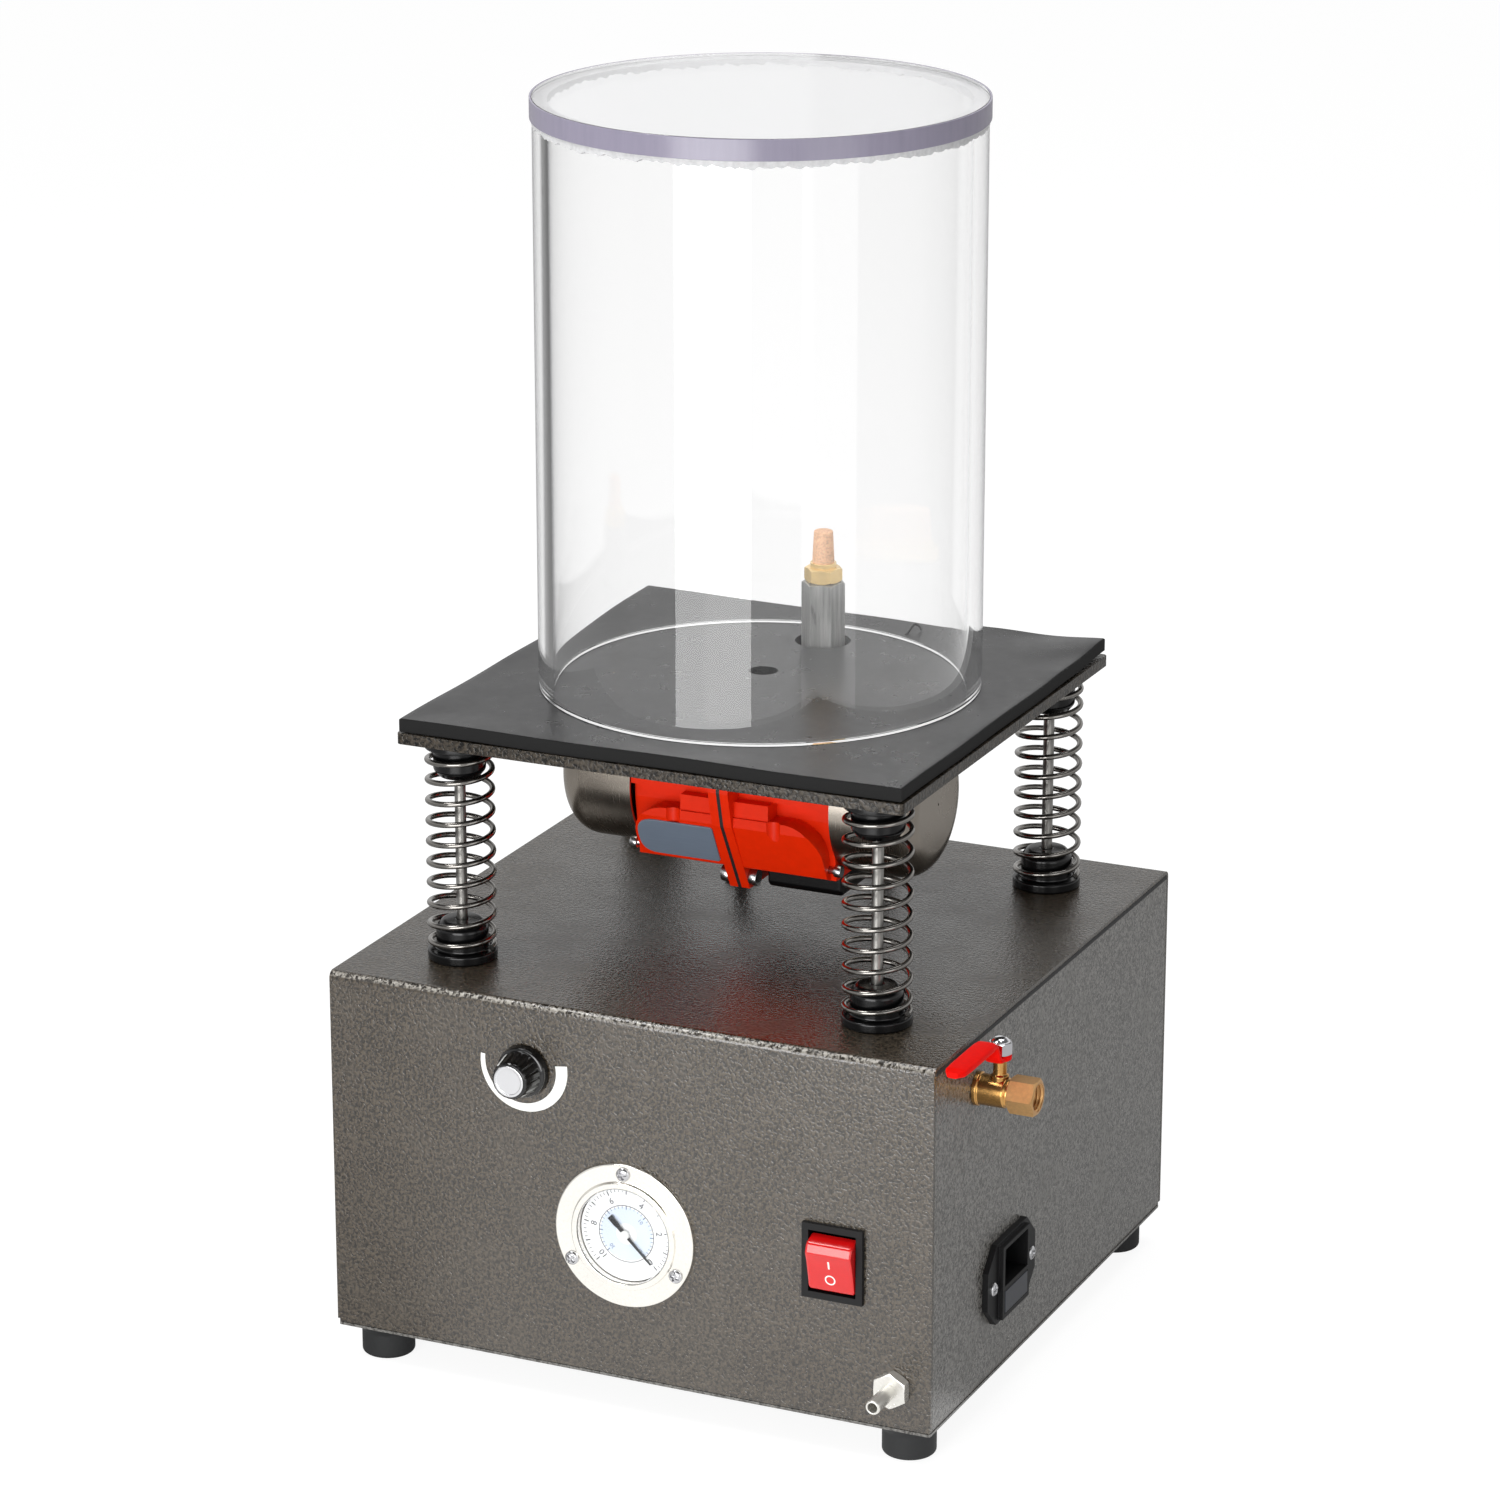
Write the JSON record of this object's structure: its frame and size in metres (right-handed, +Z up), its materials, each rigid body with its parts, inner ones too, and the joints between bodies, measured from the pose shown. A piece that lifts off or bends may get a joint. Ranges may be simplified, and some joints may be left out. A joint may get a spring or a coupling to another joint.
{
  "type": "vacuum investing machine",
  "caption": "Table machine for degassing casting plaster: a painted cabinet with gauge and controls carries a sprung, vibrated platform under a clear lift-off vacuum chamber.",
  "frame": {"origin": "on the floor, in the plane of the feet, under the middle of the cabinet", "axes": "+Z up, -Y towards the control panel, +X towards the side with the valve and the mains inlet"},
  "size_m": [0.2855, 0.275, 0.5061],
  "materials": {
    "hammertone_paint": "glossy hammertone",
    "rubber": "satin",
    "screw_steel": "bright",
    "black_plastic": "gloss",
    "spring_steel": "bright drawn wire",
    "dark_steel": "plain",
    "gauge_metal": "satin nickel",
    "dial_white": "matt",
    "clear_acrylic": "polished clear",
    "brass": "machined",
    "bronze": "sintered",
    "motor_paint": "gloss paint on cast aluminium",
    "cast_aluminium": "as cast",
    "stainless": "brushed",
    "winding": "laminated core and copper winding",
    "red_plastic": "gloss",
    "board": "circuit board",
    "fuse_glass": "glass tube"
  },
  "bodies": {
    "cabinet": {"cabinet_wrap": "hammertone_paint", "side_panel_left": "hammertone_paint", "side_panel_right": "hammertone_paint", "base_plate": "hammertone_paint", "rubber_feet": "rubber", "cabinet_fasteners": "screw_steel", "lower_spring_cups": "black_plastic", "spring_front_left": "spring_steel", "spring_front_right": "spring_steel", "spring_back_left": "spring_steel", "spring_back_right": "spring_steel", "gauge_case": "gauge_metal", "gauge_dial": "dial_white", "gauge_lens": "clear_acrylic", "gauge_movement": "brass", "switch_frame": "black_plastic", "inlet_housing": "black_plastic", "inlet_pins": "screw_steel", "valve_body": "brass", "hose_barb": "screw_steel", "potentiometer": "dark_steel", "pump_casing": "cast_aluminium", "pump_head": "cast_aluminium", "vacuum_manifold": "brass", "vacuum_hoses": "rubber", "speed_control_board": "board", "grommets": "rubber", "platform_hose": "rubber", "motor_cable": "rubber"},
    "platform": {"platform_plate": "hammertone_paint", "rubber_mat": "rubber", "guide_rods": "dark_steel", "upper_spring_cups": "black_plastic", "standpipe": "dark_steel", "filter_fitting": "brass", "sintered_filter": "bronze", "port_nipple": "brass", "motor_half_left": "motor_paint", "motor_half_right": "motor_paint", "motor_gasket": "rubber", "motor_end_covers": "stainless", "motor_bolts": "screw_steel", "motor_stator": "winding", "motor_bearings": "screw_steel", "terminal_box": "black_plastic"},
    "vibrator_rotor": {"rotor_shaft": "dark_steel", "eccentric_weights": "dark_steel"},
    "chamber": {"chamber_tube": "clear_acrylic", "chamber_lid": "clear_acrylic"},
    "speed_knob": {"knob_body": "black_plastic", "knob_cap": "cast_aluminium", "knob_shaft": "screw_steel"},
    "needle": {"gauge_needle": "black_plastic"},
    "power_rocker": {"rocker": "red_plastic"},
    "valve_handle": {"valve_lever": "red_plastic", "valve_ball": "screw_steel", "lever_nut": "screw_steel"},
    "drawer": {"fuse_drawer": "black_plastic", "fuse": "fuse_glass"},
    "pump_drive": {"pump_rotor": "dark_steel"}
  },
  "joints": [
    {"name": "platform_bounce", "type": "slide", "parent": "cabinet", "child": "platform", "axis": [0, 0, 1], "range_m": [-0.008, 0], "stiffness_N_per_m": 8000, "springref_m": 0.012, "deforming": ["spring_front_left", "spring_front_right", "spring_back_left", "spring_back_right", "platform_hose", "motor_cable"]},
    {"name": "vibrator_spin", "type": "hinge", "parent": "platform", "child": "vibrator_rotor", "pos_m": [0, 0, 0.2265], "axis": [1, 0, 0], "continuous": true},
    {"name": "chamber_lift", "type": "slide", "parent": "platform", "child": "chamber", "axis": [0, 0, 1], "range_m": [0, 0.12]},
    {"name": "knob_turn", "type": "hinge", "parent": "cabinet", "child": "speed_knob", "pos_m": [-0.0435, -0.127, 0.1385], "axis": [0, -1, 0], "range_deg": [-180, 90]},
    {"name": "needle_turn", "type": "hinge", "parent": "cabinet", "child": "needle", "pos_m": [0, -0.127, 0.0765], "axis": [0, -1, 0], "range_deg": [0, 270]},
    {"name": "rocker_tilt", "type": "hinge", "parent": "cabinet", "child": "power_rocker", "pos_m": [0.089, -0.124, 0.0805], "axis": [1, 0, 0], "range_deg": [-28, 0]},
    {"name": "valve_turn", "type": "hinge", "parent": "cabinet", "child": "valve_handle", "pos_m": [0.1395, -0.084, 0.144], "axis": [0, 0, 1], "range_deg": [0, 90]},
    {"name": "fuse_drawer_slide", "type": "slide", "parent": "cabinet", "child": "drawer", "axis": [1, 0, 0], "range_m": [0, 0.018]},
    {"name": "pump_spin", "type": "hinge", "parent": "cabinet", "child": "pump_drive", "pos_m": [0, 0.052, 0.071], "axis": [1, 0, 0], "continuous": true}
  ]
}
